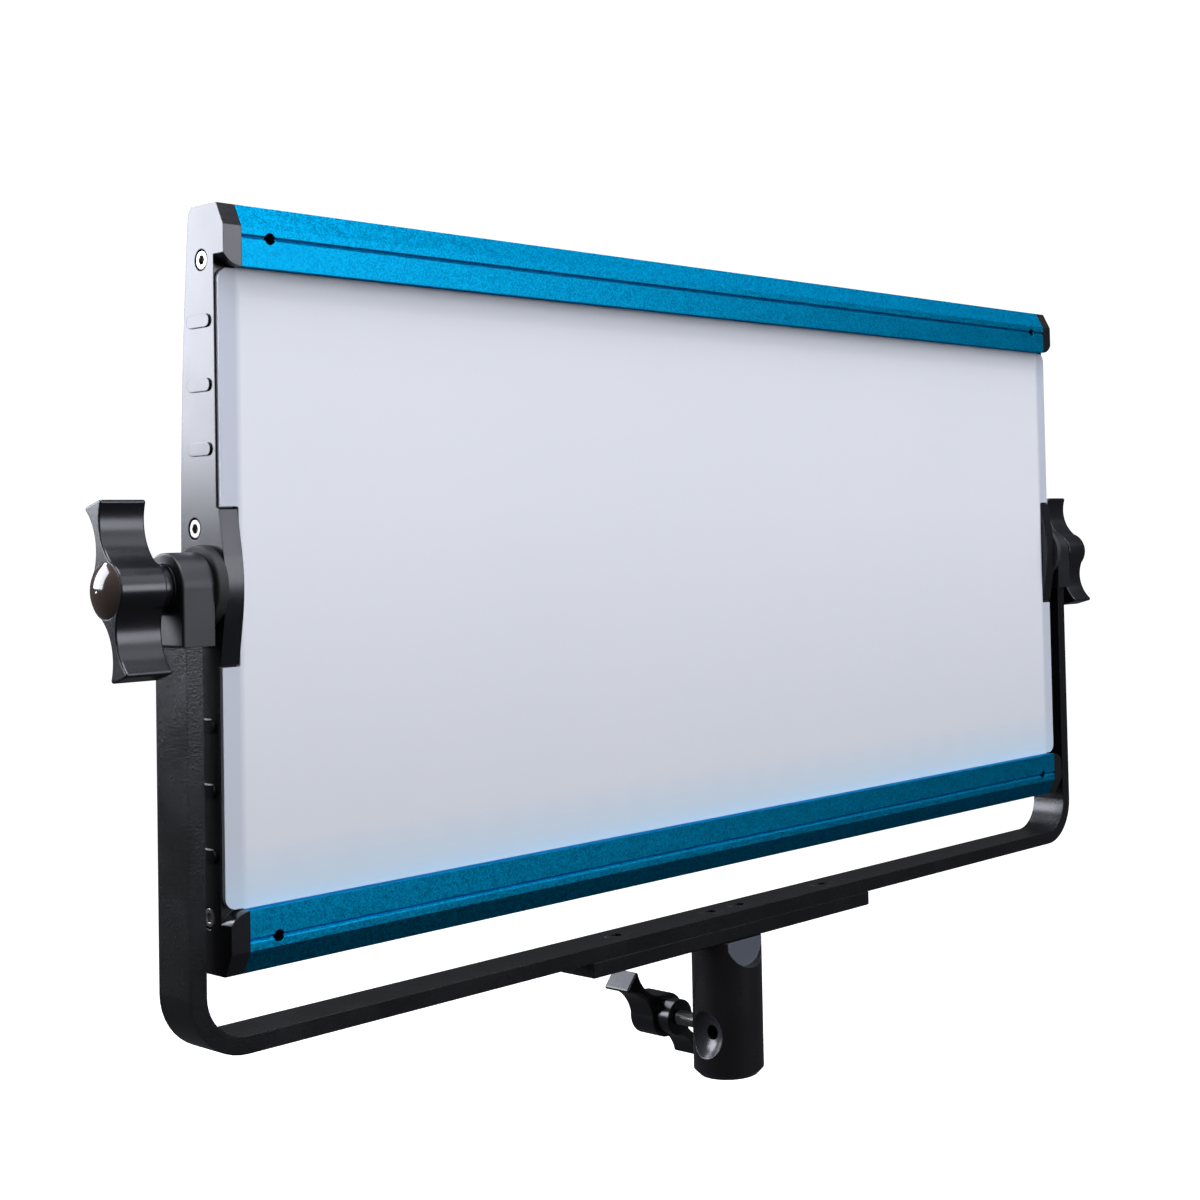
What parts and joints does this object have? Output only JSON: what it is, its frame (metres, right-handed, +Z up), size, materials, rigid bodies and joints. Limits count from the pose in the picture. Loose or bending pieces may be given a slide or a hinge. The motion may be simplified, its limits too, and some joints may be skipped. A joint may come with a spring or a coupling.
{
  "type": "led panel light",
  "caption": "Rectangular LED panel light with a milky diffuser and blue rails, hung in a U-shaped tilting yoke with wing knobs and a stand receiver that takes a stand spigot.",
  "frame": {"origin": "centre of the stand receiver's open mouth, on the bore's axis", "axes": "+Z up along the receiver bore into the light, +X along the panel's width, light leaves towards -Y"},
  "size_m": [0.5772, 0.0719, 0.342],
  "materials": {
    "blue_anodised": "bright cyan-blue metallic coat with a fine sparkle",
    "black_plastic": "satin black moulded plastic",
    "black_paint": "black fine-wrinkle powder coat",
    "satin_black_metal": "smooth satin black paint",
    "steel": "bright machined steel",
    "diffuser_white": "milky translucent sheet",
    "white_plastic": "white reflector plastic",
    "board_white": "aluminium board with white mask",
    "led_yellow": "phosphor-filled LED packages",
    "nylon": "black nylon",
    "rubber_black": "hard friction rubber",
    "gloss_cap": "smoky dark glossy dome",
    "pcb_green": "circuit board",
    "aluminium": "mill finish",
    "brass": "gold-plated contacts",
    "display_glass": "dark tinted window",
    "display_grey": "display cell",
    "button_grey": "grey moulded plastic",
    "component_dark": "capacitors and coils",
    "ribbon_grey": "flat ribbon cable"
  },
  "bodies": {
    "yoke": {"spigot_receiver": "satin_black_metal", "adapter_plate": "black_paint", "yoke_bar": "black_paint", "yoke_screws": "satin_black_metal", "left_arm_block": "black_plastic", "right_arm_block": "black_plastic", "left_stud_bush": "nylon", "right_stud_bush": "nylon"},
    "left_tilt_knob": {"left_tilt_grip": "black_plastic", "left_tilt_cap": "gloss_cap", "left_tilt_stud": "steel", "left_tilt_washer": "black_plastic"},
    "right_tilt_knob": {"right_tilt_grip": "black_plastic", "right_tilt_cap": "gloss_cap", "right_tilt_stud": "steel", "right_tilt_washer": "black_plastic"},
    "lock_knob": {"lock_grip": "black_plastic", "lock_cap": "gloss_cap", "lock_screw": "steel"},
    "dimmer_knob": {"dimmer_dial": "black_plastic", "dimmer_shaft": "aluminium"},
    "colour_knob": {"colour_dial": "black_plastic", "colour_shaft": "aluminium"},
    "power_switch": {"power_rocker": "button_grey"},
    "mode_button": {"mode_button": "button_grey"},
    "battery_latch": {"battery_release": "button_grey"},
    "panel": {"top_rail": "blue_anodised", "bottom_rail": "blue_anodised", "left_side_plate": "black_plastic", "right_side_plate": "black_plastic", "diffuser": "diffuser_white", "reflector_frame": "white_plastic", "led_board": "board_white", "leds": "led_yellow", "back_panel": "black_paint", "side_screws": "steel", "left_pivot_insert": "steel", "right_pivot_insert": "steel", "left_friction_disc": "rubber_black", "right_friction_disc": "rubber_black", "control_housing": "black_plastic", "cover_screws": "steel", "battery_plate": "black_plastic", "battery_plate_screws": "steel", "battery_contacts": "brass", "driver_board": "pcb_green", "driver_board_screws": "steel", "driver_components": "component_dark", "heatsink": "aluminium", "led_ribbon": "ribbon_grey", "display_window": "display_glass", "display_module": "display_grey", "dial_encoders": "aluminium", "power_switch_frame": "black_plastic", "rocker_pin": "steel", "power_inlet": "satin_black_metal", "inlet_pins": "brass", "inlet_screws": "steel", "data_sockets": "black_plastic"}
  },
  "joints": [
    {"name": "panel_tilt", "type": "hinge", "parent": "yoke", "child": "panel", "pos_m": [0, 0, 0.214], "axis": [1, 0, 0], "range_deg": [-180, 180]},
    {"name": "left_knob_turn", "type": "hinge", "parent": "yoke", "child": "left_tilt_knob", "pos_m": [-0.27, 0, 0.214], "axis": [-1, 0, 0], "range_deg": [0, 270]},
    {"name": "right_knob_turn", "type": "hinge", "parent": "yoke", "child": "right_tilt_knob", "pos_m": [0.27, 0, 0.214], "axis": [1, 0, 0], "range_deg": [0, 270]},
    {"name": "lock_knob_turn", "type": "hinge", "parent": "yoke", "child": "lock_knob", "pos_m": [0, 0.035, 0.0186], "axis": [0, 1, 0], "range_deg": [-270, 270]},
    {"name": "dimmer_turn", "type": "hinge", "parent": "panel", "child": "dimmer_knob", "pos_m": [-0.07, 0.05, 0.214], "axis": [0, 1, 0], "range_deg": [-150, 150]},
    {"name": "colour_turn", "type": "hinge", "parent": "panel", "child": "colour_knob", "pos_m": [-0.026, 0.05, 0.214], "axis": [0, 1, 0], "range_deg": [-150, 150]},
    {"name": "power_rock", "type": "hinge", "parent": "panel", "child": "power_switch", "pos_m": [-0.076, 0.0405, 0.176], "axis": [-1, 0, 0], "range_deg": [0, 16]},
    {"name": "mode_press", "type": "slide", "parent": "panel", "child": "mode_button", "axis": [0, -1, 0], "range_m": [0, 0.0012], "stiffness_N_per_m": 300},
    {"name": "battery_release_press", "type": "slide", "parent": "panel", "child": "battery_latch", "axis": [-1, 0, 0], "range_m": [0, 0.003], "stiffness_N_per_m": 300}
  ]
}
